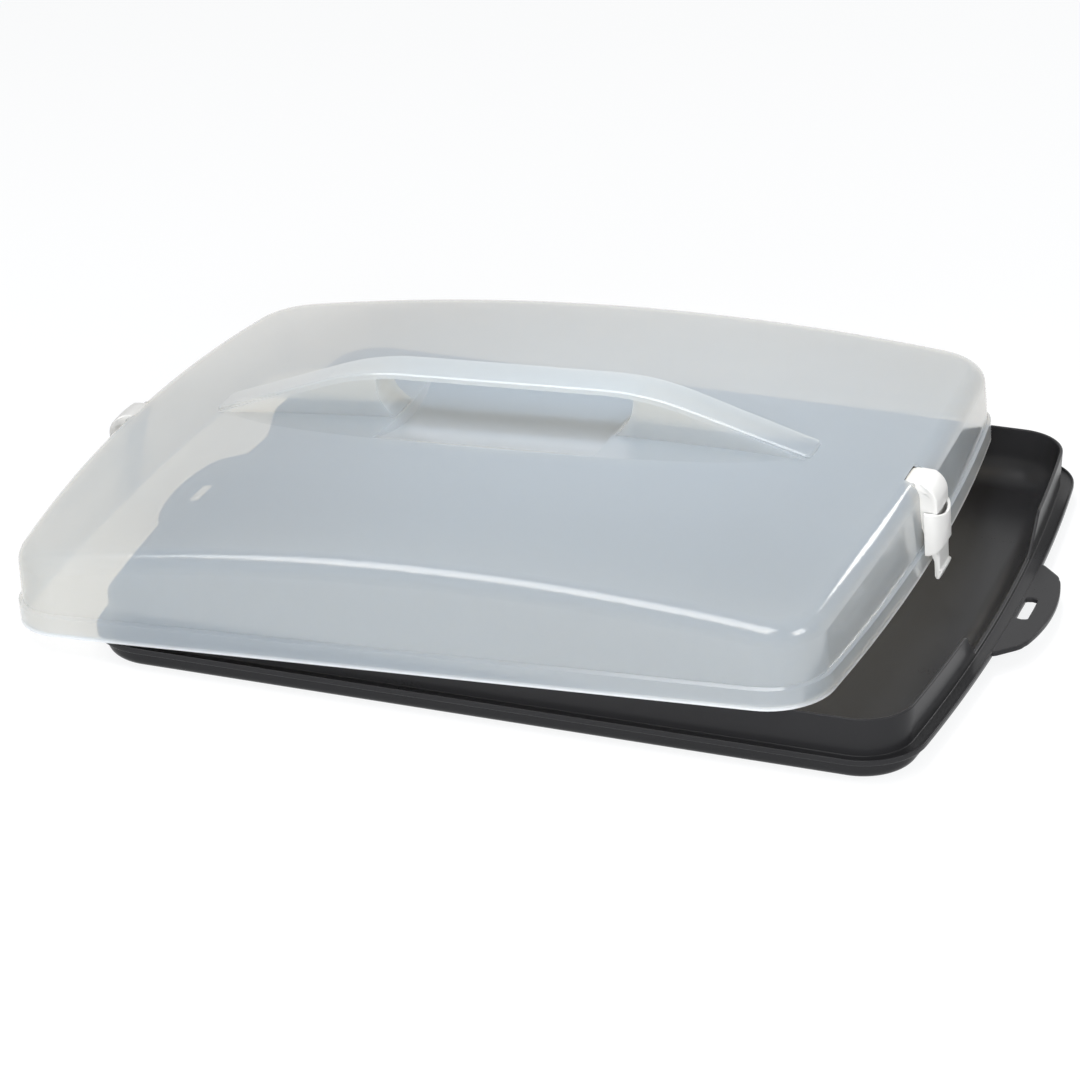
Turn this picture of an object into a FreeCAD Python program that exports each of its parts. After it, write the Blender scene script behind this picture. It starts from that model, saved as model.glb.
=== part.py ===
import FreeCAD, Part
import math
import os

V = FreeCAD.Vector
os.makedirs("parts", exist_ok=True)

# Sheet cake carrier: a dark shallow tray and a frosted lid with a strap handle
# and two hanging clips. Millimetres. The origin is on the table, under the
# middle of the tray. X runs along the tray, Y across it, Z up.

# tray, measured at the top of its wall
tray_length = 420.0          # between the ends of the two long walls
tray_width = 353.0
end_bow = 10.5               # how far each short end bows out past the corners
corner_radius = 27.0
wall_height = 32.0
wall_thick = 1.8
wall_lean = 1.0              # the wall stands this much narrower at its foot
floor_thick = 2.2
floor_sweep = 16.0           # inside radius from the floor up into the wall

# ledge round the tray with its shallow channel for the lid's rim
ledge_height = 13.2          # top of the lip
ledge_thick = 3.0
channel_depth = 1.6
channel_reach = 5.5          # from the wall's top outline to the inside of the lip
lip_thick = 1.1
foot_reach = 1.5             # side of the foot below the ledge, past the wall's outline
foot_round = 5.0

# gap in each end wall, and the tab in front of it
gap_half = 57.0              # half width at the ledge
gap_slope = 45.0             # degrees, the cut ends of the wall
gap_round = 9.0
tab_root = 105.0
tab_tip = 82.0
tab_shoulder = 11.4          # how far the tab's corners stand out of the ledge
tab_reach = 17.7
tab_thick = 2.5
tab_round = 4.0

# lid, in its own frame with the rim's lower edge at z = 0
seat_gap = 0.3               # rim to the lip of the channel
rim_thick = 2.0
rim_height = 12.0
rim_step = 1.8               # the wall stands in from the rim by this
lid_thick = 1.8
lid_lean = 1.6               # degrees
shoulder_height = 40.0       # top surface at the four corners
arch_rise = 16.0             # along the lid
crown_rise = 9.5             # across the lid
shoulder_round = 11.0

# hollow under the handle
scoop_half_length = 163.0
scoop_half_width = 50.0
scoop_depth = 4.0
pocket_half_length = 57.0
pocket_depth = 9.0
pocket_flare = 6.0

# strap handle, moulded with the lid
strap_height = 86.0
strap_flat = 55.0            # half length of the level stretch
strap_bend = 143.0
strap_fall = 18.3            # degrees
strap_end = 166.0
strap_thick = 3.2
strap_width = 25.0
strap_end_width = 21.0
strap_round = 3.0
pillar_half = 71.5           # pillar faces, each side of the middle
pillar_bend = 20.0
pillar_drop = 7.5            # from the strap's top to where the bend begins
pillar_turn = 60.0
web_thick = 2.0
web_top_half = 9.5
web_base_half = 12.5

# clip at each short end
pin_radius = 1.5
pin_gap = 0.25
knuckle_wall = 1.65
clip_half = 9.2              # half width of the strap and tongue
clip_thick = 3.6
clip_stand = 3.3             # from the rim to the clip's inner face
clip_crest = 3.5             # how far the bend stands above the pin
clip_bend = 11.1
clip_side_gap = 1.2
clip_play = 1.8              # knuckle to the edge of its window
grip_half = 14.5
grip_wall = 3.2
grip_low = 8.5
grip_high = 31.6
grip_gap = 0.3               # from the grip's edges to the rim
grip_arch = 5.0
tongue_low = -7.0
hook_reach = 1.2
hook_top = -1.3
slot_gap = 1.2
slot_end_gap = 3.0
slot_bow = 1.4

# how the lid lies on the tray, slid to the left and with its right end raised
lid_slide = -45.0
rest_gap = 0.1

half_length = tray_length / 2
half_width = tray_width / 2
bow_radius = (half_width ** 2 + end_bow ** 2) / (2 * end_bow)
bow_x = half_length + end_bow - bow_radius
corner_y = half_width - corner_radius
corner_x = bow_x + math.sqrt((bow_radius - corner_radius) ** 2 - corner_y ** 2)
end_x = half_length + end_bow

lip_reach = channel_reach + lip_thick
rim_reach = channel_reach - seat_gap
channel_height = ledge_height - channel_depth
crown_top = shoulder_height + arch_rise + crown_rise
arch_radius = (half_length ** 2 + arch_rise ** 2) / (2 * arch_rise)
crown_radius = (half_width ** 2 + crown_rise ** 2) / (2 * crown_rise)


def plan(reach, z):
    """Outline of the tray's wall, moved outward by reach, with bowed short ends."""
    far = bow_radius + reach
    side = half_width + reach
    turn = corner_radius + reach
    aim = math.atan2(corner_y, corner_x - bow_x)
    end = V(bow_x + far * math.cos(aim), far * math.sin(aim), z)
    mid = (aim + math.pi / 2) / 2
    bend = V(corner_x + turn * math.cos(mid), corner_y + turn * math.sin(mid), z)
    top = V(corner_x, side, z)

    def at(point, sx, sy):
        return V(sx * point.x, sy * point.y, z)

    edges = []
    for sx, sy in ((1, 1), (-1, -1)):
        nose = V(sx * (bow_x + far), 0, z)
        edges.append(Part.Arc(at(end, sx, -sy), nose, at(end, sx, sy)))
        edges.append(Part.Arc(at(end, sx, sy), at(bend, sx, sy), at(top, sx, sy)))
        edges.append(Part.LineSegment(at(top, sx, sy), at(top, -sx, sy)))
        edges.append(Part.Arc(at(top, -sx, sy), at(bend, -sx, sy), at(end, -sx, sy)))
    return Part.Wire([edge.toShape() for edge in edges])


def slab(reach, low, high):
    return Part.Face(plan(reach, low)).extrude(V(0, 0, high - low))


def tapered(reach_low, low, reach_high, high):
    return Part.makeLoft([plan(reach_low, low), plan(reach_high, high)], True, True)


def closed(points):
    return Part.Face(Part.makePolygon(points + [points[0]]))


def edges_at(shape, height, reach, slack=0.4):
    """Edges of one outline: level at the given height, on plan(reach)."""
    side = half_width + reach
    nose = end_x + reach
    found = []
    for edge in shape.Edges:
        box = edge.BoundBox
        if abs(box.ZMin - height) > 0.05 or abs(box.ZMax - height) > 0.05:
            continue
        outer = plan(reach, height)
        mid = edge.valueAt((edge.FirstParameter + edge.LastParameter) / 2)
        if outer.distToShape(Part.Vertex(mid))[0] < slack and box.YMax < side + 1 and box.XMax < nose + 1:
            found.append(edge)
    return found


def both_ends(shape):
    return [shape, shape.mirror(V(0, 0, 0), V(1, 0, 0))]


def mirrored(shape):
    """The shape's right half with its own mirror image."""
    reach = 2 * half_length
    half = shape.common(Part.makeBox(reach, 2 * reach, reach, V(0, -reach, -1)))
    return half.fuse(half.mirror(V(0, 0, 0), V(1, 0, 0))).removeSplitter()


# clip stations at the middle of the right end, in the lid's frame
rim_x = end_x + rim_reach
clip_in = rim_x + clip_stand
clip_out = clip_in + clip_thick
slot_in = clip_in - slot_gap
slot_out = clip_out + hook_reach + seat_gap


def tray():
    foot = slab(foot_reach, 0, ledge_height - 1)
    foot = foot.makeFillet(foot_round, edges_at(foot, 0, foot_reach))
    ledge = slab(lip_reach, ledge_height - ledge_thick, ledge_height)
    ledge = ledge.makeChamfer(lip_thick * 0.4, edges_at(ledge, ledge_height, lip_reach))
    trough = slab(channel_reach, channel_height, ledge_height + 1)
    body = foot.fuse(ledge).cut(trough)

    wall = tapered(-wall_lean, channel_height - 2, 0, wall_height)
    wall = wall.makeChamfer(wall_thick * 0.25, edges_at(wall, wall_height, 0))
    body = body.fuse(wall)
    for piece in both_ends(tab()):
        body = body.fuse(piece)

    inner_low = -wall_lean * wall_height / (wall_height - channel_height) - wall_thick
    room = tapered(inner_low, floor_thick, -wall_thick, wall_height)
    room = room.makeFillet(floor_sweep, edges_at(room, floor_thick, inner_low))
    body = body.cut(room)
    for piece in both_ends(end_gap()):
        body = body.cut(piece)
    for piece in both_ends(slot()):
        body = body.cut(piece)
    return mirrored(body.removeSplitter())


def end_gap():
    """Opening in an end wall: sloping ends, rounded where they meet the wall's top."""
    slope = math.radians(gap_slope)
    crest = gap_half + (wall_height - ledge_height) / math.tan(slope)
    cut = gap_round * math.tan(slope / 2)
    near = V(0, crest - cut * math.cos(slope), wall_height - cut * math.sin(slope))
    far = V(0, crest + cut, wall_height)
    centre = V(0, crest + cut, wall_height - gap_round)
    mid = math.pi / 2 + slope / 2
    middle = centre + V(0, gap_round * math.cos(mid), gap_round * math.sin(mid))
    above = wall_height + 5

    def flip(point):
        return V(point.x, -point.y, point.z)

    low = V(0, gap_half, ledge_height)
    high = V(0, far.y, above)
    edges = [
        Part.LineSegment(flip(low), low),
        Part.LineSegment(low, near),
        Part.Arc(near, middle, far),
        Part.LineSegment(far, high),
        Part.LineSegment(high, flip(high)),
        Part.LineSegment(flip(high), flip(far)),
        Part.Arc(flip(far), flip(middle), flip(near)),
        Part.LineSegment(flip(near), flip(low)),
    ]
    face = Part.Face(Part.Wire([edge.toShape() for edge in edges]))
    face.translate(V(half_length - floor_sweep, 0, 0))
    return face.extrude(V(end_bow + floor_sweep + lip_reach, 0, 0))


def tab():
    """Flat tab in front of the gap: straight flanks and a bowed nose."""
    low = ledge_height - tab_thick
    root = end_x + lip_reach
    start = end_x - wall_thick
    corner = root + tab_shoulder
    nose = root + tab_reach
    points = [V(start, tab_root / 2, low), V(root - 0.5, tab_root / 2, low),
              V(corner, tab_tip / 2, low)]
    edges = []
    for sy in (1, -1):
        a, b, c = [V(p.x, sy * p.y, p.z) for p in points]
        edges += [Part.LineSegment(a, b), Part.LineSegment(b, c)]
    right, left = points[2], V(corner, -tab_tip / 2, low)
    edges.append(Part.Arc(right, V(nose, 0, low), left))
    edges.append(Part.LineSegment(V(start, -tab_root / 2, low), points[0]))
    wire = Part.Wire(Part.__sortEdges__([edge.toShape() for edge in edges]))
    plate = Part.Face(wire).extrude(V(0, 0, tab_thick))
    tips = [edge for edge in plate.Edges
            if abs(edge.BoundBox.XMin - corner) < 0.01 and edge.BoundBox.XLength < 0.01
            and edge.BoundBox.YLength < 0.01]
    plate = plate.makeFillet(tab_round, tips)
    return plate.cut(slab(channel_reach + lip_thick / 2, -1, wall_height))


def slot():
    """Slot in the tab for the clip's tongue, with bowed short ends."""
    half = clip_half + slot_end_gap - slot_bow
    low = ledge_height - tab_thick - 1
    middle = (slot_in + slot_out) / 2
    a, b = V(slot_in, -half, low), V(slot_out, -half, low)
    c, d = V(slot_out, half, low), V(slot_in, half, low)
    edges = [
        Part.Arc(a, V(middle, -half - slot_bow, low), b),
        Part.LineSegment(b, c),
        Part.Arc(c, V(middle, half + slot_bow, low), d),
        Part.LineSegment(d, a),
    ]
    face = Part.Face(Part.Wire([edge.toShape() for edge in edges]))
    return face.extrude(V(0, 0, tab_thick + 2))


def swept_over(profile, radius, reach):
    """Turns a cross profile along an arch of the given radius, both ways from x = 0."""
    angle = math.degrees(math.asin(reach / radius))
    pivot = V(0, 0, crown_top - radius)
    face = profile.copy()
    face.rotate(pivot, V(0, 1, 0), -angle)
    return face.revolve(pivot, V(0, 1, 0), 2 * angle)


def arc_across(half, drop, top):
    """Arc in the YZ plane through (half, top - drop), (0, top) and back."""
    return Part.Arc(V(0, -half, top - drop), V(0, 0, top), V(0, half, top - drop)).toShape()


def crowned_block(inset):
    """Everything under the lid's top surface, which is arched along and across."""
    radius = crown_radius - inset
    half = half_width + 20
    drop = radius - math.sqrt(radius ** 2 - half ** 2)
    top = crown_top - inset
    arc = arc_across(half, drop, top)
    low = -10
    sides = Part.makePolygon([V(0, half, top - drop), V(0, half, low), V(0, -half, low),
                              V(0, -half, top - drop)])
    face = Part.Face(Part.Wire([arc] + sides.Edges))
    return swept_over(face, arch_radius, half_length + end_bow + 20)


def scoop(inset):
    """Lens shaped hollow in the top, shallow along the lid and round across it."""
    bend = 1 / (1 / arch_radius - 2 * scoop_depth / scoop_half_length ** 2)
    across = 1 / (2 * scoop_depth / scoop_half_width ** 2 - 1 / crown_radius) + inset
    low = crown_top - scoop_depth - inset
    half = scoop_half_width + 15
    rise = across - math.sqrt(across ** 2 - half ** 2)
    arc = arc_across(half, -rise, low)
    high = strap_height + 20
    cap = Part.makePolygon([V(0, half, low + rise), V(0, half, high), V(0, -half, high),
                            V(0, -half, low + rise)])
    face = Part.Face(Part.Wire([arc] + cap.Edges))
    pivot = V(0, 0, crown_top - scoop_depth - bend)
    angle = math.degrees(math.asin((scoop_half_length + 10) / bend))
    face.rotate(pivot, V(0, 1, 0), -angle)
    return face.revolve(pivot, V(0, 1, 0), 2 * angle)


def pocket(inset):
    """Deeper finger hollow between the pillars."""
    across = 1 / (2 * pocket_depth / scoop_half_width ** 2 - 1 / crown_radius) + inset
    low = crown_top - pocket_depth - inset
    half = scoop_half_width + 15
    rise = across - math.sqrt(across ** 2 - half ** 2)
    arc = arc_across(half, -rise, low)
    high = crown_top + 40
    cap = Part.makePolygon([V(0, half, low + rise), V(0, half, high), V(0, -half, high),
                            V(0, -half, low + rise)])
    face = Part.Face(Part.Wire([arc] + cap.Edges))
    reach = pocket_half_length + 60
    face.translate(V(-reach, 0, 0))
    channel = face.extrude(V(2 * reach, 0, 0))
    foot = pocket_half_length + inset
    brim = foot + pocket_flare * (high - low) / pocket_depth
    side = closed([V(-foot, -half - 5, low), V(foot, -half - 5, low),
                   V(brim, -half - 5, high), V(-brim, -half - 5, high)])
    return channel.common(side.extrude(V(0, 2 * half + 10, 0)))


def lid_form(inset):
    """Solid lid: rim band, leaning wall, crowned top with a rounded shoulder."""
    lean = math.tan(math.radians(lid_lean))
    high = crown_top + 10
    band_in = rim_thick if inset else 0
    start = -1 if inset else 0
    band = slab(rim_reach - band_in, start, rim_height - inset)
    if not inset:
        band = band.makeChamfer(rim_step * 0.7, edges_at(band, rim_height, rim_reach))
    wall_reach = rim_reach - rim_step - inset
    wall = tapered(wall_reach, rim_height - 4, wall_reach - lean * (high - rim_height), high)
    wall = wall.common(crowned_block(inset))
    shoulder = [edge for edge in wall.Edges
                if edge.BoundBox.ZMin > rim_height + 2 and edge.Length > 5
                and edge.BoundBox.ZLength < edge.BoundBox.DiagonalLength * 0.7]
    wall = wall.makeFillet(shoulder_round - inset, shoulder)
    return band.fuse(wall)


def strap_line(drop, stop):
    """Top line of the handle in the XZ plane, lowered by drop: level, bend, fall."""
    turn = math.radians(strap_fall)
    radius = strap_bend - drop
    level = V(strap_flat, 0, strap_height - drop)
    centre = V(strap_flat, 0, strap_height - strap_bend)
    half = centre + V(radius * math.sin(turn / 2), 0, radius * math.cos(turn / 2))
    leave = centre + V(radius * math.sin(turn), 0, radius * math.cos(turn))
    end = V(stop, 0, leave.z - (stop - leave.x) * math.tan(turn))
    return level, half, leave, end


def strap():
    """Arched strap, a little narrower at its ends."""
    a, b, c, d = strap_line(0, strap_end)
    e, f, g, h = strap_line(strap_thick, strap_end)
    edges = [
        Part.LineSegment(V(0, 0, a.z), a), Part.Arc(a, b, c), Part.LineSegment(c, d),
        Part.LineSegment(d, h), Part.LineSegment(h, g), Part.Arc(g, f, e),
        Part.LineSegment(e, V(0, 0, e.z)), Part.LineSegment(V(0, 0, e.z), V(0, 0, a.z)),
    ]
    face = Part.Face(Part.Wire([edge.toShape() for edge in edges]))
    face.translate(V(0, -strap_width, 0))
    bar = face.extrude(V(0, 2 * strap_width, 0))
    wide, slim = strap_width / 2, strap_end_width / 2
    shape = closed([V(0, -wide, 0), V(pillar_half, -wide, 0), V(strap_end, -slim, 0),
                    V(strap_end, slim, 0), V(pillar_half, wide, 0), V(0, wide, 0)])
    cutter = shape.extrude(V(0, 0, strap_height + 10))
    tips = [edge for edge in cutter.Edges
            if edge.BoundBox.XMin > strap_end - 0.1 and edge.BoundBox.YLength < 0.01]
    half = bar.common(cutter.makeFillet(strap_round, tips))
    whole = half.fuse(half.mirror(V(0, 0, 0), V(1, 0, 0))).removeSplitter()
    crest = [edge for edge in whole.Edges
             if edge.BoundBox.XLength > 20 and edge.BoundBox.YLength < 3
             and abs(abs(edge.CenterOfMass.y)) > slim * 0.8 and on_top(edge)]
    return whole.makeChamfer(strap_thick * 0.25, crest)


def on_top(edge):
    """True where an edge lies on the strap's upper line."""
    a, b, c, d = strap_line(0, strap_end)
    upper = Part.Wire([Part.LineSegment(V(0, 0, a.z), a).toShape(), Part.Arc(a, b, c).toShape(),
                       Part.LineSegment(c, d).toShape()])
    mid = edge.valueAt((edge.FirstParameter + edge.LastParameter) / 2)
    return upper.distToShape(Part.Vertex(V(abs(mid.x), 0, mid.z)))[0] < 0.2


def handle_rib(inset):
    """Hollow rib under one half of the strap, with a flared pillar face and leaning webs."""
    low = shoulder_height - 5 if inset else shoulder_height + 6
    roof = strap_thick if inset else strap_thick / 2
    stop = strap_end - web_thick - inset
    turn = math.radians(pillar_turn)
    bend = pillar_bend + inset
    centre = V(pillar_half - pillar_bend, 0, strap_height - pillar_drop)
    top = centre + V(bend, 0, 0)
    mid = centre + V(bend * math.cos(turn / 2), 0, -bend * math.sin(turn / 2))
    toe = centre + V(bend * math.cos(turn), 0, -bend * math.sin(turn))
    a, b, c, d = strap_line(roof, stop)
    sweep = math.radians(strap_fall)
    start = math.asin((top.x - strap_flat) / (strap_bend - roof))
    hub = V(strap_flat, 0, strap_height - strap_bend)

    def on_bend(angle):
        return hub + V((strap_bend - roof) * math.sin(angle), 0, (strap_bend - roof) * math.cos(angle))

    lift = on_bend(start)
    edges = [
        Part.LineSegment(V(toe.x, 0, low), toe), Part.Arc(toe, mid, top),
        Part.LineSegment(top, lift), Part.Arc(lift, on_bend((start + sweep) / 2), c),
        Part.LineSegment(c, d), Part.LineSegment(d, V(stop, 0, low)),
        Part.LineSegment(V(stop, 0, low), V(toe.x, 0, low)),
    ]
    face = Part.Face(Part.Wire([edge.toShape() for edge in edges]))
    face.translate(V(0, -strap_width, 0))
    side = face.extrude(V(0, 2 * strap_width, 0))
    base = crown_top - scoop_depth
    slope = (web_base_half - web_top_half) / (strap_height - base)
    high = strap_height + 5
    foot = web_base_half - inset + slope * (base - low)
    head = web_top_half - inset - slope * (high - strap_height)
    cross = closed([V(0, -foot, low), V(0, foot, low), V(0, head, high), V(0, -head, high)])
    return side.common(cross.extrude(V(strap_end, 0, 0)))


def pin_place():
    """Middle of the clip's pin, inside the lid's rounded shoulder."""
    lean = math.tan(math.radians(lid_lean))
    wall_x = end_x + rim_reach - rim_step - lean * (shoulder_height - rim_height)
    centre_x = wall_x - shoulder_round
    slope = math.asin(centre_x / arch_radius)
    surface = crown_top - arch_radius * (1 - math.cos(slope))
    centre_z = surface - shoulder_round / math.cos(slope)
    mid = (shoulder_round - lid_thick / 2) * math.sqrt(0.5)
    return V(centre_x + mid, 0, centre_z + mid)


knuckle_radius = pin_radius + pin_gap + knuckle_wall
window_half = clip_half + clip_side_gap


def window():
    """Opening in the shoulder round the clip's knuckle."""
    reach = knuckle_radius + clip_play
    pin = pin_place()
    box = Part.makeBox(2 * reach, 2 * window_half, 4 * reach, V(-reach, -window_half, -2 * reach))
    box.rotate(V(0, 0, 0), V(0, 1, 0), 45)
    box.translate(pin)
    return box


def pin():
    place = pin_place()
    length = 2 * (window_half + lid_thick)
    return Part.makeCylinder(pin_radius, length, V(place.x, -length / 2, place.z), V(0, 1, 0))


def lid():
    outer = lid_form(0).cut(scoop(0)).cut(pocket(0))
    inner = lid_form(lid_thick).cut(scoop(lid_thick)).cut(pocket(lid_thick))
    for piece in both_ends(handle_rib(0)):
        outer = outer.fuse(piece)
    outer = outer.fuse(strap())
    for piece in both_ends(handle_rib(web_thick)):
        inner = inner.fuse(piece)
    shell = outer.cut(inner)
    for piece in both_ends(window()):
        shell = shell.cut(piece)
    for piece in both_ends(pin()):
        shell = shell.fuse(piece)
    return shell.removeSplitter()


def clip():
    """Hanging clip: split knuckle, bent strap, thumb grip and hooked tongue."""
    place = pin_place()
    bend_z = place.z + clip_crest - clip_bend
    bend_x = clip_out - clip_bend
    inner = clip_bend - clip_thick
    diagonal = math.sqrt(0.5)

    def corner(radius):
        return V(bend_x + radius * diagonal, 0, bend_z + radius * diagonal)

    hook = [V(clip_out, 0, hook_top), V(clip_out + hook_reach, 0, hook_top),
            V(clip_out + hook_reach, 0, hook_top - 1.6), V(clip_out - 1, 0, tongue_low),
            V(clip_in + 1, 0, tongue_low), V(clip_in, 0, tongue_low + 2)]
    start = V(place.x, 0, place.z + clip_crest)
    under = V(place.x, 0, place.z + clip_crest - clip_thick)
    edges = [
        Part.LineSegment(start, V(bend_x, 0, bend_z + clip_bend)),
        Part.Arc(V(bend_x, 0, bend_z + clip_bend), corner(clip_bend), V(clip_out, 0, bend_z)),
        Part.LineSegment(V(clip_out, 0, bend_z), hook[0]),
    ]
    edges += [Part.LineSegment(a, b) for a, b in zip(hook, hook[1:])]
    edges += [
        Part.LineSegment(hook[-1], V(clip_in, 0, bend_z)),
        Part.Arc(V(clip_in, 0, bend_z), corner(inner), V(bend_x, 0, bend_z + inner)),
        Part.LineSegment(V(bend_x, 0, bend_z + inner), under),
        Part.LineSegment(under, start),
    ]
    side = Part.Face(Part.Wire([edge.toShape() for edge in edges]))
    side.translate(V(0, -clip_half, 0))
    body = side.extrude(V(0, 2 * clip_half, 0))
    barrel = Part.makeCylinder(knuckle_radius, 2 * clip_half, V(place.x, -clip_half, place.z), V(0, 1, 0))
    body = body.fuse(barrel).fuse(grip())
    hole = Part.makeCylinder(pin_radius + pin_gap, 4 * clip_half, V(place.x, -2 * clip_half, place.z),
                             V(0, 1, 0))
    mouth = Part.makeBox(1.7 * pin_radius, 4 * clip_half, 2 * knuckle_radius,
                         V(-0.85 * pin_radius, -2 * clip_half, -2 * knuckle_radius))
    mouth.rotate(V(0, 0, 0), V(0, 1, 0), 45)
    mouth.translate(place)
    return body.cut(hole).cut(mouth).removeSplitter()


def grip():
    """Thumb grip: a piece of round wall, its lower edge arched over the tongue."""
    edge_x = rim_x + grip_gap
    nose = clip_out - 0.5 + grip_wall
    bulge = nose - edge_x
    radius = (grip_half ** 2 + bulge ** 2) / (2 * bulge)
    centre = nose - radius
    inner = radius - grip_wall
    height = grip_high - grip_low
    tube = Part.makeCylinder(radius, height, V(centre, 0, grip_low))
    tube = tube.cut(Part.makeCylinder(inner, height, V(centre, 0, grip_low)))
    keep = Part.makeBox(2 * radius, 2 * radius, height, V(edge_x, -radius, grip_low))
    tube = tube.common(keep)
    arch = (grip_half ** 2 * 0.5 + grip_arch ** 2) / (2 * grip_arch)
    tunnel = Part.makeCylinder(arch, 4 * radius, V(edge_x - radius, 0, grip_low + grip_arch - arch),
                               V(1, 0, 0))
    return tube.cut(tunnel)


def lid_pose():
    """Rim across the long walls' tops on the right, on the lip at the left corners."""
    rim_in = rim_reach - rim_thick
    right = corner_x + math.sqrt((corner_radius + rim_in) ** 2 - corner_radius ** 2)
    left = corner_x + math.sqrt((corner_radius + lip_reach) ** 2 - (corner_radius + rim_in) ** 2)
    run = lid_slide + right + left
    tilt = math.atan((wall_height - ledge_height) / run)
    height = wall_height + rest_gap - right * math.sin(tilt)
    return FreeCAD.Placement(V(lid_slide, 0, height),
                             FreeCAD.Rotation(V(0, 1, 0), -math.degrees(tilt)))


def save(name, shape, pose=None):
    if pose:
        shape = shape.copy()
        shape.transformShape(pose.toMatrix())
    solid = shape.Solids[0] if len(shape.Solids) == 1 else shape
    solid.exportStep("parts/" + name + ".step")
    print(name, len(shape.Solids), shape.isValid(), round(shape.Volume), shape.BoundBox)


pose = lid_pose()
save("tray", tray())
save("lid", lid(), pose)
right_clip = clip()
save("right_clip", right_clip, pose)
save("left_clip", right_clip.mirror(V(0, 0, 0), V(1, 0, 0)), pose)
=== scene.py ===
import math

import bmesh
import bpy
import numpy as np
from mathutils import Matrix, Vector


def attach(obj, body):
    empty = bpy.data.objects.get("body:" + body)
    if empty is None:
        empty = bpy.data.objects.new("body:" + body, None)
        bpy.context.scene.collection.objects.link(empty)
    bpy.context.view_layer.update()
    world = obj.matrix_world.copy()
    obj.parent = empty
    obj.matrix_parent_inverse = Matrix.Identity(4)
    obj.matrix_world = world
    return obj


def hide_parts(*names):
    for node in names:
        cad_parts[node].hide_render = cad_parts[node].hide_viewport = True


# Sheet cake carrier: dark tray, frosted lid with a strap handle, two white clips.
# The origin is on the floor under the middle of the tray, X along it and Y across it.
# Shapes are worked out in millimetres and become metres when their mesh is made.

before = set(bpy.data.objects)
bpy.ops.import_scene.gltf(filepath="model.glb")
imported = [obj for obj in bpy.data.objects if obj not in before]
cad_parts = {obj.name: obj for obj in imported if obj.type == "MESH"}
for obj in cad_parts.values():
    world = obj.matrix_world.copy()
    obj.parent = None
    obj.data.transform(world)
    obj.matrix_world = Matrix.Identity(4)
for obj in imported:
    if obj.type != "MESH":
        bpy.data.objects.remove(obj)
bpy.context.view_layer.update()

MM = 0.001

# Plan outline, at the top of the tray's wall: straight sides, bowed ends, round corners.
half_length, half_width, end_bow, corner_radius = 210.0, 176.5, 10.5, 27.0
end_x = half_length + end_bow
bow_radius = (half_width ** 2 + end_bow ** 2) / (2 * end_bow)
bow_x = end_x - bow_radius
corner_y = half_width - corner_radius
corner_x = bow_x + math.sqrt((bow_radius - corner_radius) ** 2 - corner_y ** 2)

# Tray heights, and reaches from the plan outline.
wall_top, ledge_top, ledge_low, channel, floor_top, sweep = 32.0, 13.2, 10.2, 11.6, 2.2, 16.0
wall_thick, outer_lean, inner_lean, inner_foot, bead = 1.8, 0.91, 1.57, 2.53, 0.9
foot_round, foot_inset, foot_reach = 5.0, 3.5, 1.5
lip_reach, lip_inset, ledge_round = 6.6, 5.5, 0.6
gap_half, gap_crest, gap_round = 57.0, 75.8, 9.0
slot_near, slot_far, tab_low, tab_round = 227.8, 234.1, 10.7, 0.5

# How the lid lies: slid to the left, its left rim on the ledge and its right rim on the wall's top.
lid_slide, lid_clearance, rim_inset = 45.0, 0.1, 3.2
right_rest = corner_x + math.sqrt((corner_radius + rim_inset) ** 2 - corner_radius ** 2)
left_rest = corner_x + math.sqrt((corner_radius + lip_reach) ** 2 - (corner_radius + rim_inset) ** 2)
lid_tilt = math.atan((wall_top - ledge_top) / (right_rest + left_rest - lid_slide))
lid_lift = wall_top + lid_clearance - right_rest * math.sin(lid_tilt)

# The clip, in the lid's own frame at the right end.
pin_x, pin_z, knuckle_radius = 219.26, 45.18, 5.0
clip_inner, clip_outer, clip_half, strap_half = 229.0, 232.6, 9.2, 11.0
dome_x, dome_z, dome_radius, clip_wall = 220.5, 35.6, 12.1, 3.6
pocket_face, pocket_floor, pocket_top = 230.9, 13.0, 31.0
tongue_foot, hook_reach, hook_top, hook_low = -6.9, 1.2, -1.2, -2.9
grip_root, grip_nose, grip_half, grip_wall, grip_round = 226.0, 235.2, 14.2, 1.7, 0.7
rim_dip, rim_rise, arch_top, arch_drop = 28.6, 3.4, 12.6, 4.2


class Value:
    """A socket of a material. Arithmetic on it adds Math nodes."""

    def __init__(self, finish, socket):
        self.finish = finish
        self.socket = socket

    def math(self, operation, other, clamp=False):
        settings = {"operation": operation, "use_clamp": clamp}
        return self.finish.add("ShaderNodeMath", settings, {0: self, 1: other})[0]

    def __add__(self, other):
        return self.math("ADD", other)

    def __sub__(self, other):
        return self.math("SUBTRACT", other)

    def __mul__(self, other):
        return self.math("MULTIPLY", other)

    def __pow__(self, other):
        return self.math("POWER", other)

    def __rsub__(self, other):
        return self.finish.add("ShaderNodeMath", {"operation": "SUBTRACT"}, {0: other, 1: self})[0]

    __radd__ = __add__
    __rmul__ = __mul__

    def held(self):
        """The value kept between 0 and 1."""
        return self.math("ADD", 0.0, clamp=True)


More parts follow.
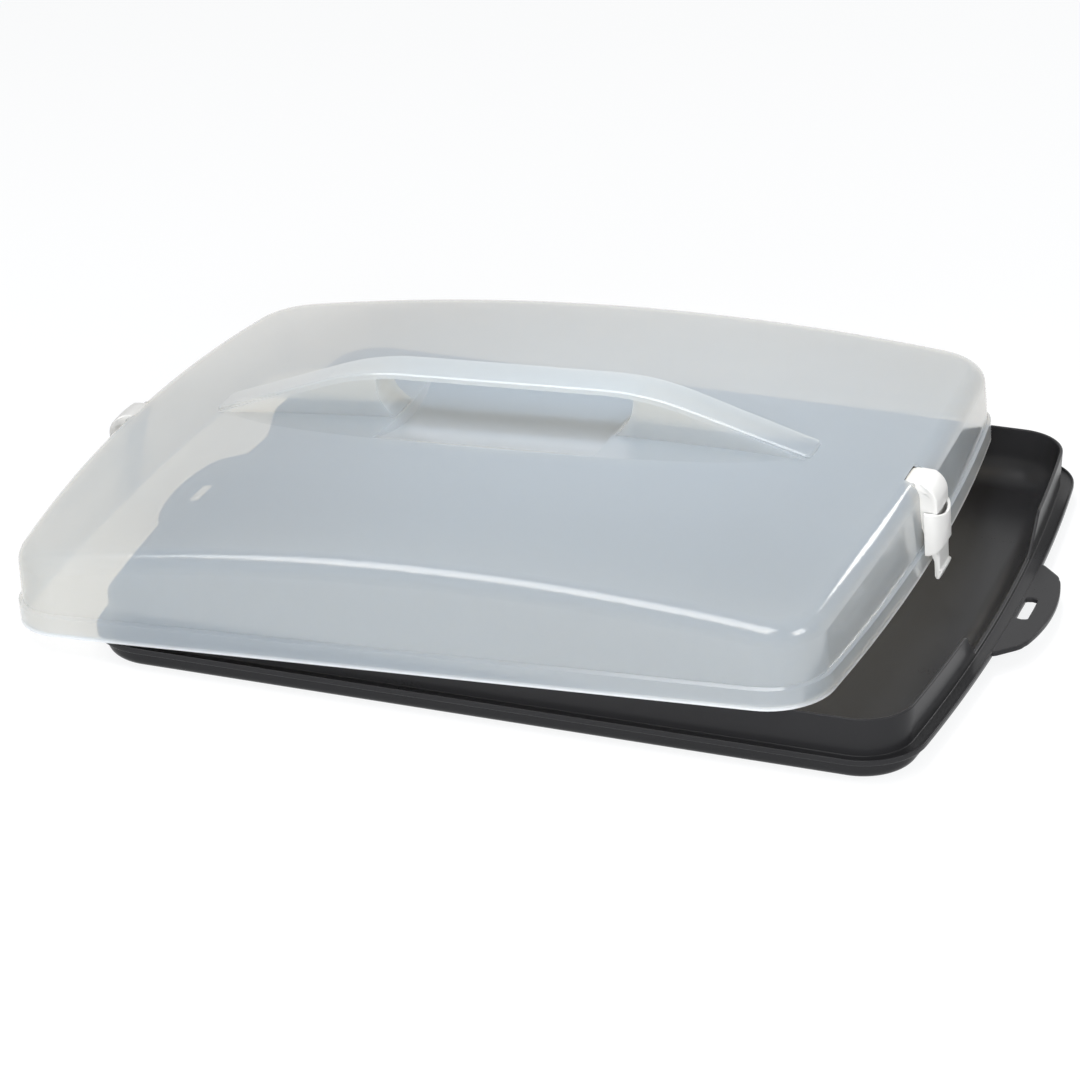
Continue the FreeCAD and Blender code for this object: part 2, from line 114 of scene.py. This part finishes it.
class Finish:
    """A material in the making, or the world."""

    def __init__(self, name, world=None):
        self.output = "ShaderNodeOutputWorld" if world else "ShaderNodeOutputMaterial"
        self.owner = world or bpy.data.materials.new(name)
        self.owner.use_nodes = True
        self.tree = self.owner.node_tree
        self.tree.nodes.clear()

    def add(self, kind, settings=None, sockets=None):
        """Places a node: its settings first, then its sockets' values or links."""
        node = self.tree.nodes.new(kind)
        for key, value in (settings or {}).items():
            setattr(node, key, value)
        for key, value in (sockets or {}).items():
            if isinstance(value, Value):
                self.tree.links.new(value.socket, node.inputs[key])
            else:
                node.inputs[key].default_value = value
        return [Value(self, socket) for socket in node.outputs if socket.enabled]

    def place(self, scale=(1, 1, 1)):
        """Object coordinates, stretched by scale."""
        spot = self.add("ShaderNodeTexCoord")[3]
        return self.add("ShaderNodeMapping", {}, {"Vector": spot, "Scale": scale})[0]

    def noise(self, spot, scale, detail=2.0, roughness=0.5):
        sockets = {"Vector": spot, "Scale": scale, "Detail": detail, "Roughness": roughness}
        return self.add("ShaderNodeTexNoise", {"noise_dimensions": "3D"}, sockets)[0]

    def blend(self, factor, low, high):
        """A colour between two colours."""
        return self.add("ShaderNodeMix", {"data_type": "RGBA"}, {0: factor, 6: low, 7: high})[0]

    def bump(self, height, strength, distance):
        sockets = {"Height": height, "Strength": strength, "Distance": distance}
        return self.add("ShaderNodeBump", {}, sockets)[0]

    def plastic(self, sockets):
        return self.add("ShaderNodeBsdfPrincipled", {}, sockets)[0]

    def mix(self, factor, low, high):
        """A shader between two shaders."""
        return self.add("ShaderNodeMixShader", {}, {0: factor, 1: low, 2: high})[0]

    def looked_at(self):
        """1 for a ray from the camera, off a gloss or through plastic, 0 for other scattered light."""
        paths = self.add("ShaderNodeLightPath")
        camera, gloss, through = paths[0], paths[3], paths[6]
        return (camera + gloss + through).held()

    def close(self, shader):
        self.add(self.output, {}, {"Surface": shader})
        return self.owner


def tray_plastic():
    """Satin anthracite polypropylene with a fine spark-eroded grain and faint flow clouds."""
    made = Finish("anthracite_plastic")
    spot = made.place()
    cloud = made.noise(spot, 9.0, 3.0)
    grain = made.noise(spot, 1500.0, 2.0, 0.6)
    swirl = made.noise(made.place((1, 3, 3)), 22.0, 4.0)
    colour = made.blend(cloud, (0.016, 0.016, 0.0172, 1), (0.020, 0.020, 0.0215, 1))
    rough = 0.24 + cloud * 0.04 + swirl * 0.02 + grain * 0.03
    return made.close(made.plastic({
        "Base Color": colour, "Roughness": rough, "IOR": 1.49, "Specular IOR Level": 0.15,
        "Normal": made.bump(grain, 0.05, 0.0001)}))


def painted_rim_highlight(made, spot):
    """Mask of a painted highlight along the lid's rim: 1 at the foot of the rim, fading to 0 a few
    millimetres above it. The height above the rim is that of the lid's own frame, so the lid's lift,
    slide and tilt are taken off first."""
    fade_end, fade_per_metre = 0.0024, 600
    x, _, z = made.add("ShaderNodeSeparateXYZ", {}, {0: spot})
    height = (z - lid_lift * MM) * math.cos(lid_tilt) - (x + lid_slide * MM) * math.sin(lid_tilt)
    return ((fade_end - height) * fade_per_metre).held()


def lid_plastic():
    """Frosted natural polypropylene. The milky share scatters a bluish light, the rest lets what lies
    behind be seen sharply and a little warmer, and a painted highlight makes a thin band at the foot
    of the rim whiter and more opaque. The gloss grows with the fifth power of the slant, as on any
    clear plastic."""
    made = Finish("frosted_plastic")
    spot = made.place()
    cloud = made.noise(spot, 7.0, 3.0)
    grain = made.noise(spot, 900.0, 2.0, 0.6)
    relief = made.bump(grain, 0.04, 0.0002)
    # painted highlight: edge marks the foot of the rim, where the haze colour is whitened and less is
    # seen through
    edge = painted_rim_highlight(made, spot)
    haze_colour = made.blend(cloud, (0.60, 0.75, 0.92, 1), (0.65, 0.79, 0.96, 1))
    milk_with_painted_highlight = made.blend(edge, haze_colour, (0.96, 0.98, 1.0, 1))
    front = made.plastic({
        "Base Color": milk_with_painted_highlight, "Roughness": 1.0, "Specular IOR Level": 0.0, "Normal": relief})
    back = made.add("ShaderNodeBsdfTranslucent", {}, {
        "Color": (0.84, 0.89, 0.96, 1), "Normal": relief})[0]
    haze = made.mix(0.62, front, back)
    clear = made.add("ShaderNodeBsdfTransparent", {}, {"Color": (0.93, 0.85, 0.72, 1)})[0]
    slant = made.add("ShaderNodeLayerWeight", {}, {"Blend": 0.5})[1]
    # at the rim's painted highlight the see-through share drops
    body = made.mix((0.58 - slant * 0.12 + cloud * 0.04) * (1.0 - edge * 0.9), haze, clear)
    gloss = made.add("ShaderNodeBsdfAnisotropic", {}, {
        "Color": (1, 1, 1, 1), "Roughness": 0.08 + cloud * 0.04 + grain * 0.04, "Normal": relief})[0]
    shine = 0.06 + (slant ** 5.0) * 0.9
    return made.close(made.mix(shine, body, gloss))


def clip_plastic():
    """Opaque white plastic, smooth, with a trace of grain."""
    made = Finish("white_plastic")
    spot = made.place()
    cloud = made.noise(spot, 60.0, 3.0)
    grain = made.noise(spot, 2000.0, 2.0, 0.6)
    colour = made.blend(cloud, (0.61, 0.61, 0.60, 1), (0.65, 0.65, 0.64, 1))
    return made.close(made.plastic({
        "Base Color": colour, "Roughness": 0.30 + cloud * 0.08, "IOR": 1.49,
        "Normal": made.bump(grain, 0.08, 0.0002)}))


finishes = {"tray": tray_plastic(), "lid": lid_plastic(), "right_clip": clip_plastic()}
finishes["left_clip"] = finishes["right_clip"]
for name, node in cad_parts.items():
    node.data.materials.clear()
    node.data.materials.append(finishes[name])
    node.data.shade_smooth()


def lid_place(points):
    """From the lid's own frame to the whole carrier's: a turn about Y by the lid's tilt, then a shift."""
    x, y, z = np.moveaxis(np.asarray(points, float), -1, 0)
    return np.stack([x * math.cos(lid_tilt) - z * math.sin(lid_tilt) - lid_slide, y,
                     x * math.sin(lid_tilt) + z * math.cos(lid_tilt) + lid_lift], -1)


def outline(end_ys, turns, side_xs):
    """Plan outline as points and outward normals. One quarter is an end arc at the given y values,
    a corner arc at the given shares of its turn and a straight side at the given x values; the
    other three are its mirror images."""
    aim = math.atan2(corner_y, corner_x - bow_x)
    swing = np.arcsin(np.asarray(end_ys) / bow_radius)
    bend = aim + np.asarray(turns) * (math.pi / 2 - aim)
    bow = np.stack([np.cos(swing), np.sin(swing)], 1)
    turn = np.stack([np.cos(bend), np.sin(bend)], 1)
    side = np.stack([np.asarray(side_xs), np.full(len(side_xs), half_width)], 1)
    corner = turn * corner_radius + (corner_x, corner_y)
    spots = np.concatenate([bow * bow_radius + (bow_x, 0), corner, side])
    outs = np.concatenate([bow, turn, np.tile((0.0, 1.0), (len(side_xs), 1))])
    both = np.stack([spots, outs], 1)
    half = np.concatenate([both, both[-2::-1] * (-1, 1)])
    whole = np.concatenate([half, half[-2:0:-1] * (1, -1)])
    return whole[:, 0], whole[:, 1]


class Shape:
    """Points and faces of a piece, gathered grid by grid."""

    def __init__(self):
        self.points, self.faces, self.count = [], [], 0

    def grid(self, points):
        """A grid of points whose last column joins the first, with a face for each cell."""
        rows, columns = points.shape[:2]
        row = np.repeat(np.arange(rows - 1), columns) * columns
        here = np.tile(np.arange(columns), rows - 1)
        there = (here + 1) % columns
        cells = np.stack([row + here, row + there, row + columns + there, row + columns + here], 1)
        self.faces += (cells + self.count).tolist()
        self.points.append(points.reshape(-1, 3))
        self.count += rows * columns
        return self

    def cap(self, loop, flip=False):
        """One face on a closed loop of points."""
        order = np.arange(len(loop)) + self.count
        self.faces.append((order[::-1] if flip else order).tolist())
        self.points.append(np.asarray(loop, float))
        self.count += len(loop)
        return self

    def piece(self, name, crease, place=None):
        """The mesh object, in metres: points put in place and welded, wide faces cut into triangles,
        faces turned outwards, and edges sharper than crease kept sharp."""
        weld = 0.02 * MM
        points = np.concatenate(self.points)
        if place:
            points = place(points)
        mesh = bpy.data.meshes.new(name)
        mesh.from_pydata((points * MM).tolist(), [], self.faces)
        shell = bmesh.new()
        shell.from_mesh(mesh)
        bmesh.ops.remove_doubles(shell, verts=shell.verts, dist=weld)
        bmesh.ops.dissolve_degenerate(shell, dist=weld / 4, edges=shell.edges)
        wide = [face for face in shell.faces if len(face.verts) > 4]
        bmesh.ops.triangulate(shell, faces=wide, ngon_method="BEAUTY")
        bmesh.ops.recalc_face_normals(shell, faces=shell.faces)
        shell.to_mesh(mesh)
        shell.free()
        mesh.shade_smooth()
        mesh.set_sharp_from_angle(angle=math.radians(crease))
        thing = bpy.data.objects.new(name, mesh)
        bpy.context.scene.collection.objects.link(thing)
        return thing


def arc(centre, radius, start, stop, count):
    """Points of a circle arc in a plane, angles in degrees."""
    turn = np.radians(np.linspace(start, stop, count))
    return np.stack([centre[0] + radius * np.cos(turn), centre[1] + radius * np.sin(turn)], 1)


def clip_side():
    """Side outline of the clip's strap in the XZ plane, clockwise from the top of its dome: the round
    dome, the outer face with a recess behind the grip, the hooked tongue, the inner face, the hollow
    under the dome and the knuckle round the pin."""
    dome = arc((dome_x, dome_z), dome_radius, 98, 0, 22)
    outer = [(clip_outer, 34), (clip_outer, pocket_top), (pocket_face, pocket_top - 2.5),
             (pocket_face, pocket_floor + 3), (grip_nose - grip_wall, pocket_floor),
             (clip_outer, pocket_floor - 3), (clip_outer, 4)]
    hook = [(clip_outer, hook_top), (clip_outer + hook_reach, hook_top - 0.2),
            (clip_outer + hook_reach, hook_low), (clip_outer - 0.9, tongue_foot),
            (clip_inner + 1, tongue_foot)]
    inner = [(clip_inner, tongue_foot + 1.9), (clip_inner, 10), (clip_inner, 24)]
    hollow = arc((dome_x, dome_z), dome_radius - clip_wall, 0, 34, 10)
    web = [(pin_x + 4.4, pin_z - 4.6), (pin_x + 2.2, pin_z - 4.5)]
    knuckle = arc((pin_x, pin_z), knuckle_radius, -80, -202, 20)
    crest = [(pin_x - 1.8, pin_z + 2.6)]
    return np.concatenate([dome, outer, hook, inner, hollow, web, knuckle, crest])


def resampled(loop, step):
    """The closed loop with points about step apart, and its outward normals."""
    ring = np.concatenate([loop, loop[:1]])
    along = np.concatenate([[0], np.cumsum(np.linalg.norm(np.diff(ring, axis=0), axis=1))])
    want = np.linspace(0, along[-1], int(along[-1] / step), endpoint=False)
    spots = np.stack([np.interp(want, along, ring[:, i]) for i in (0, 1)], 1)
    run = np.roll(spots, -1, 0) - np.roll(spots, 1, 0)
    outs = np.stack([-run[:, 1], run[:, 0]], 1) / np.linalg.norm(run, axis=1)[:, None]
    area = np.sum(spots[:, 0] * np.roll(spots[:, 1], -1) - np.roll(spots[:, 0], -1) * spots[:, 1])
    return spots, outs * (-1 if area > 0 else 1)


def ease(low, high, value):
    """0 below low, 1 above high, smooth between."""
    share = np.clip((value - low) / (high - low), 0, 1)
    return share * share * (3 - 2 * share)


def clip_strap(shape):
    """The side outline spread across y: at row angle a the half width is w - r + r sin a and the
    outline is drawn in by r - r cos a, so its edges are round, plus a slight crown over the width.
    The strap is wider than the knuckle and the tongue, and eases into both."""
    spots, outs = resampled(clip_side(), 0.55)
    x, z = spots.T
    knuckle_end, strap_start, tongue_top, strap_foot = 222.5, 227.0, 6.0, 10.0
    wide = ease(knuckle_end, strap_start, x) * ease(tongue_top, strap_foot, z)
    half = clip_half + (strap_half - clip_half) * wide
    edge, crown = 0.8, 0.35
    turn = np.radians([90, 65, 40, 18, 0])
    side = np.concatenate([1 - (1 - np.sin(turn)) * edge / clip_half, [0.6, 0.3]])
    drawn = np.concatenate([edge - edge * np.cos(turn), [0, 0]])
    share = np.concatenate([side, [0], -side[::-1]])
    inset = np.concatenate([drawn, [0], drawn[::-1]]) + crown * share ** 2
    rows = spots[None] - inset[:, None, None] * outs[None]
    across = share[:, None] * half[None]
    grid = np.stack([rows[..., 0], across, rows[..., 1]], -1)
    shape.grid(grid).cap(grid[0]).cap(grid[-1], flip=True)


def clip_grip(shape):
    """Thumb grip: a wall round a squarish half oval in plan. Away from the middle its rim rises and its
    lower edge falls, both with the square of y, and all edges are round."""
    swing = np.radians(np.linspace(-90, 90, 45))
    bulge = grip_nose - grip_root
    plan = np.stack([grip_root + bulge * np.abs(np.cos(swing)) ** 0.75,
                     grip_half * np.sign(swing) * np.abs(np.sin(swing)) ** 0.9], 1)
    run = np.gradient(plan, axis=0)
    outs = np.stack([run[:, 1], -run[:, 0]], 1) / np.linalg.norm(run, axis=1)[:, None]
    lean = (plan[:, 1] / grip_half) ** 2
    high, low = rim_dip + rim_rise * lean, arch_top - arch_drop * lean
    lip = arc((-grip_round, -grip_round), grip_round, 0, 90, 5)
    brim = arc((grip_round - grip_wall, -grip_round), grip_round, 90, 180, 5)
    over = np.concatenate([lip, brim])
    reach = np.concatenate([over[:, 0], over[::-1, 0]])
    rise = np.concatenate([over[:, 1], -over[::-1, 1]])
    top = np.arange(len(reach)) < len(over)
    spots = plan[None] + reach[:, None, None] * outs[None]
    tall = np.where(top[:, None], high[None], low[None]) + rise[:, None]
    grid = np.concatenate([spots, tall[..., None]], -1).transpose(1, 0, 2)
    shape.grid(grid).cap(grid[0]).cap(grid[-1], flip=True)


def clip(name, side):
    """One clip with its grip, side 1 at the right end and -1 at the left."""
    shape = Shape()
    clip_strap(shape)
    clip_grip(shape)
    piece = shape.piece(name, crease=62, place=lambda points: lid_place(points * (side, 1, 1)))
    piece.data.materials.append(finishes["right_clip"])
    return piece


def gap_line(y):
    """Height of an end wall's top at y: level in the gap, a slope of 45 degrees, a round crest."""
    y = np.abs(y)
    middle = gap_crest + gap_round * math.tan(math.radians(22.5))
    start = middle - gap_round * math.sin(math.radians(45))
    slope = ledge_top + np.clip(y - gap_half, 0, None)
    crest = wall_top - gap_round + np.sqrt(np.clip(gap_round ** 2 - (middle - y) ** 2, 0, None))
    return np.where(y < start, slope, np.where(y < middle, crest, wall_top))


def tray_outside():
    """Section of the tray's outside as reach and height: foot, ledge, lip and channel."""
    foot = arc((-foot_inset, foot_round), foot_round, -90, 0, 9)
    lip_low = arc((lip_reach - ledge_round, ledge_low + ledge_round), ledge_round, -90, 0, 4)
    crest_round = (lip_reach - lip_inset) / 2
    lip_high = arc((lip_reach - crest_round, ledge_top - crest_round), crest_round, 0, 180, 8)
    bed = arc((lip_inset - ledge_round, channel + ledge_round), ledge_round, 0, -90, 4)
    root = arc((-ledge_round / 2, channel + ledge_round), ledge_round, -90, -180, 4)
    return np.concatenate([foot, [(foot_reach, ledge_low)], lip_low, lip_high, bed, root])


def tray_inside(crest):
    """Rows of the wall above the channel and of the inside, as reach and height for each column:
    a round brim under the crest, the leaning inner face, and the sweep down to the floor. Where the
    wall is cut lower than the sweep, the brim starts on the sweep itself."""
    top = crest - bead
    outer_reach = -outer_lean * (wall_top - top) / (wall_top - channel)
    hub = -inner_foot - sweep
    high = floor_top + sweep
    lean = (wall_top - top) * inner_lean / (wall_top - floor_top)
    dip = np.arcsin(np.clip((top - high) / sweep, -1, 0))
    knee_reach = hub + sweep * np.cos(dip)
    inner_reach = np.where(top > high, -wall_thick - lean, knee_reach)
    swing = np.radians(np.linspace(0, 180, 11))[:, None]
    middle, half = (outer_reach + inner_reach) / 2, (outer_reach - inner_reach) / 2
    brim = np.stack([middle + half * np.cos(swing), top + bead * np.sin(swing)], -1)
    share = np.linspace(0, 1, 8)[1:, None]
    knee = np.minimum(top, high)
    drop = np.stack([inner_reach + (knee_reach - inner_reach) * share, top + (knee - top) * share], -1)
    turn = dip + (-math.pi / 2 - dip) * np.linspace(0, 1, 16)[1:, None]
    curve = np.stack([hub + sweep * np.cos(turn), high + sweep * np.sin(turn)], -1)
    return np.concatenate([brim, drop, curve])


def shrunk(ring):
    """Rows from near a flat ring in to its middle point: the ring scaled down at its own height."""
    share = np.array([0.75, 0.5, 0.25, 0.0])[:, None, None]
    level = np.broadcast_to(ring[None, :, 2:], (len(share), len(ring), 1))
    return np.concatenate([ring[None, :, :2] * share, level], -1)


def tray_wall(shape):
    """Section rows carried round the outline: underside, outside, wall, inside, floor. The wall's rows
    end at the gap's line in each column."""
    end_ys = np.concatenate([np.linspace(0, 50, 9), np.linspace(53, 60, 8), np.linspace(62, 72, 8),
                             np.linspace(73, 80, 10), np.linspace(84, 151.5, 14)])
    spots, outs = outline(end_ys, np.linspace(0, 1, 20), np.linspace(corner_x, 0, 24)[1:])
    at_end = np.abs(spots[:, 0]) > half_length - sweep
    crest = np.where(at_end, gap_line(spots[:, 1]), wall_top)
    outside = tray_outside()[:, None]
    outside = np.broadcast_to(outside, (len(outside), len(spots), 2))
    section = np.concatenate([outside, tray_inside(crest)])
    plan = spots[None] + section[..., :1] * outs[None]
    grid = np.concatenate([plan, section[..., 1:]], -1)
    shape.grid(np.concatenate([shrunk(grid[0])[::-1], grid, shrunk(grid[-1])]))


def polar(half, angle):
    """Distance from the slot's middle, at each angle, to an outline whose half is given. The other
    half is its mirror image."""
    runs = [np.linspace(a, b, 12, endpoint=False) for a, b in zip(half, half[1:])]
    away = np.concatenate(runs + [half[-1:]]) - ((slot_near + slot_far) / 2, 0)
    turn = np.arctan2(away[:, 1], away[:, 0])[::-1]
    return np.interp(np.abs(angle), turn, np.linalg.norm(away, axis=1)[::-1])


def tab_edge(angle):
    """Distance from the slot's middle to the tab's outline: its root along the ledge's lip, a
    slanting flank, a round corner and a bowed nose."""
    root_half, nose_half, shoulder_half = 52.5, 36.0, 41.0
    root, shoulder, tip = end_x + 5.8, 238.5, 244.8
    reach = np.linspace(0, root_half, 8)
    base = np.stack([root - reach ** 2 / (2 * bow_radius), reach], 1)
    flank = np.array([(227.2, root_half), (236.2, 43.0)])
    corner = np.array([(237.6, 41.2), (238.6, 39.4), (239.0, 37.6)])
    radius = (shoulder_half ** 2 + (tip - shoulder) ** 2) / (2 * (tip - shoulder))
    swing = np.linspace(nose_half, 0, 14)
    nose = np.stack([tip - radius + np.sqrt(radius ** 2 - swing ** 2), swing], 1)
    return polar(np.concatenate([base, flank, corner, nose]), angle)


def slot_edge(angle):
    """Distance from the slot's middle to its edge, with bowed short ends."""
    straight, corner, crown, soft = 10.8, 11.6, 12.2, 0.9
    half = np.array([(slot_near, 0), (slot_near, straight), (slot_near + soft, corner),
                     ((slot_near + slot_far) / 2, crown), (slot_far - soft, corner),
                     (slot_far, straight), (slot_far, 0)])
    return polar(half, angle)


def tray_tab(shape, side):
    """Flat tab with a slot: a ring of section rows between the slot's edge and the tab's outline."""
    angle = np.linspace(-math.pi, math.pi, 241)[:-1]
    inner, outer = slot_edge(angle), tab_edge(angle)
    soft, low, high = tab_round, tab_low, ledge_top
    bend = soft * 0.3
    flat = np.minimum(2.0, (outer - inner) * 0.45)
    rows = [(inner, low + soft), (inner, high - soft), (inner + bend, high - bend),
            (inner + soft, high), (inner + flat, high), (outer - flat, high), (outer - soft, high),
            (outer - bend, high - bend), (outer, high - soft), (outer, low + soft),
            (outer - bend, low + bend), (outer - soft, low), (outer - flat, low),
            (inner + flat, low), (inner + soft, low), (inner + bend, low + bend),
            (inner, low + soft)]
    middle = (slot_near + slot_far) / 2
    grid = np.stack([np.stack([side * (middle + away * np.cos(angle)), away * np.sin(angle),
                               np.full(len(angle), tall)], -1) for away, tall in rows])
    shape.grid(grid)


def tray():
    """The whole tray moulding: floor, ledge and wall in one shell, and a tab at each end."""
    shape = Shape()
    tray_wall(shape)
    for side in (1, -1):
        tray_tab(shape, side)
    piece = shape.piece("tray_moulding", crease=40)
    piece.data.materials.append(finishes["tray"])
    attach(piece, "carrier")
    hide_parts("tray")


tray()

for body, side in (("right_clip", 1), ("left_clip", -1)):
    hook = clip(body + "_moulding", side)
    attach(hook, body)
    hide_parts(body)


def floor_finish():
    """Matt pale floor that looks nearly white and keeps the carrier's shadow."""
    made = Finish("pale_floor")
    matt = made.plastic({"Base Color": (0.86, 0.87, 0.88, 1), "Roughness": 0.9})
    glow = made.add("ShaderNodeEmission", {}, {"Color": (0.99, 0.995, 1, 1), "Strength": 1.08})[0]
    return made.close(made.mix(made.looked_at() * 0.8, matt, glow))


def stage_floor():
    mesh = bpy.data.meshes.new("floor")
    mesh.from_pydata([(-9, -9, 0), (9, -9, 0), (9, 9, 0), (-9, 9, 0)], [], [(0, 1, 2, 3)])
    floor = bpy.data.objects.new("floor", mesh)
    bpy.context.scene.collection.objects.link(floor)
    mesh.materials.append(floor_finish())


def lamp(name, place, aim, width, depth, power, spread=180, mirrored=True):
    """A soft box at place, facing aim. Gloss shows it only when mirrored."""
    data = bpy.data.lights.new(name, "AREA")
    data.shape = "RECTANGLE"
    data.size = width
    data.size_y = depth
    data.energy = power
    data.spread = math.radians(spread)
    box = bpy.data.objects.new(name, data)
    box.location = place
    box.rotation_euler = (Vector(aim) - Vector(place)).to_track_quat("-Z", "Y").to_euler()
    box.visible_camera = False
    box.visible_glossy = mirrored
    bpy.context.scene.collection.objects.link(box)


def studio():
    """Pale surroundings, weak as light and white to look at, and five soft boxes."""
    world = bpy.data.worlds.new("studio")
    bpy.context.scene.world = world
    made = Finish("studio", world)
    light, look = 0.11, 1.0
    strength = light + made.looked_at() * (look - light)
    made.close(made.add("ShaderNodeBackground", {}, {
        "Color": (1, 1, 1, 1), "Strength": strength})[0])
    lamp("overhead", (0.03, 0.02, 0.95), (0.03, 0.02, 0), 0.3, 0.25, 0.5, 42, mirrored=False)
    lamp("front_box", (-0.25, -0.6, 1.5), (0.0, -0.1, 0.05), 1.8, 0.8, 19)
    lamp("right_box", (1.5, -0.35, 1.1), (0.2, 0, 0.05), 0.6, 0.5, 5)
    lamp("back_right", (0.9, 1.5, 1.0), (0.2, -0.1, 0.05), 0.35, 0.5, 5)
    lamp("front_fill", (0.8, -2.4, 0.6), (0.1, 0, 0.05), 1.8, 0.9, 62, mirrored=False)


def camera():
    """The photograph's camera: azimuth, elevation and roll in degrees, place in metres."""
    azimuth, elevation, roll = (math.radians(a) for a in (20.271, 25.812, -1.014))
    place = (0.6541, -1.8629, 0.9732)
    sensor, image_pixels, focal_pixels = 36.0, 1080, 4149.5
    right = np.array([math.cos(azimuth), math.sin(azimuth), 0])
    back = np.array([math.sin(azimuth) * math.cos(elevation),
                     -math.cos(azimuth) * math.cos(elevation), math.sin(elevation)])
    up = np.cross(back, right)
    turned = right * math.cos(roll) + up * math.sin(roll)
    upright = up * math.cos(roll) - right * math.sin(roll)
    data = bpy.data.cameras.new("camera")
    data.sensor_width = sensor
    data.lens = focal_pixels / image_pixels * sensor
    data.clip_start = 0.05
    data.clip_end = 60
    view = bpy.data.objects.new("camera", data)
    bpy.context.scene.collection.objects.link(view)
    pose = Matrix.Identity(4)
    for column, axis in enumerate((turned, upright, back, place)):
        for row in range(3):
            pose[row][column] = float(axis[row])
    view.matrix_world = pose
    bpy.context.scene.camera = view


stage_floor()
studio()
camera()
bpy.context.scene.view_settings.view_transform = "Standard"
